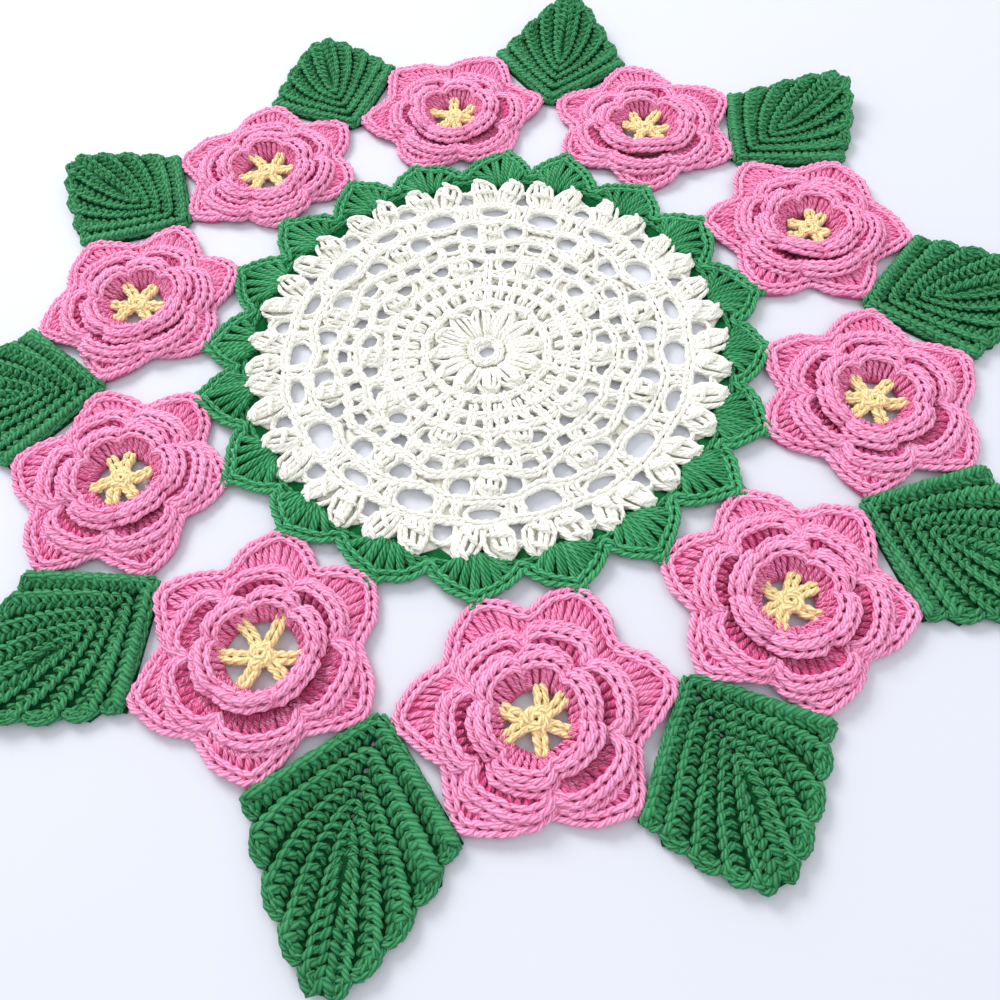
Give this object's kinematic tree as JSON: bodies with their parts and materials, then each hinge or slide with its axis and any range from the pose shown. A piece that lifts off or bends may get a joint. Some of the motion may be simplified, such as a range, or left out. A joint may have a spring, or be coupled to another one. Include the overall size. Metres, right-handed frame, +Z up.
{
  "type": "lace doily",
  "caption": "Round flat crochet doily with an openwork centre, a shell edging and a ring of raised roses and leaves.",
  "frame": {"origin": "on the table under the middle of the doily's box", "axes": "+Z up, away from the table; the side nearest the camera is towards -Y"},
  "size_m": [0.3506, 0.3514, 0.0104],
  "materials": {
    "white_cotton": "matt ivory mercerised cotton crochet yarn",
    "edging_green": "matt emerald green cotton crochet yarn",
    "leaf_green": "matt deep green cotton crochet yarn",
    "pink_cotton": "matt pink cotton crochet yarn",
    "yellow_cotton": "matt pale yellow cotton crochet yarn"
  },
  "bodies": {
    "root": {"medallion": "white_cotton", "edging": "edging_green", "rose_01": "pink_cotton", "star_01": "yellow_cotton", "leaf_01": "leaf_green", "rose_02": "pink_cotton", "star_02": "yellow_cotton", "leaf_02": "leaf_green", "rose_03": "pink_cotton", "star_03": "yellow_cotton", "leaf_03": "leaf_green", "rose_04": "pink_cotton", "star_04": "yellow_cotton", "leaf_04": "leaf_green", "rose_05": "pink_cotton", "star_05": "yellow_cotton", "leaf_05": "leaf_green", "rose_06": "pink_cotton", "star_06": "yellow_cotton", "leaf_06": "leaf_green", "rose_07": "pink_cotton", "star_07": "yellow_cotton", "leaf_07": "leaf_green", "rose_08": "pink_cotton", "star_08": "yellow_cotton", "leaf_08": "leaf_green", "rose_09": "pink_cotton", "star_09": "yellow_cotton", "leaf_09": "leaf_green", "rose_10": "pink_cotton", "star_10": "yellow_cotton", "leaf_10": "leaf_green"}
  },
  "joints": []
}
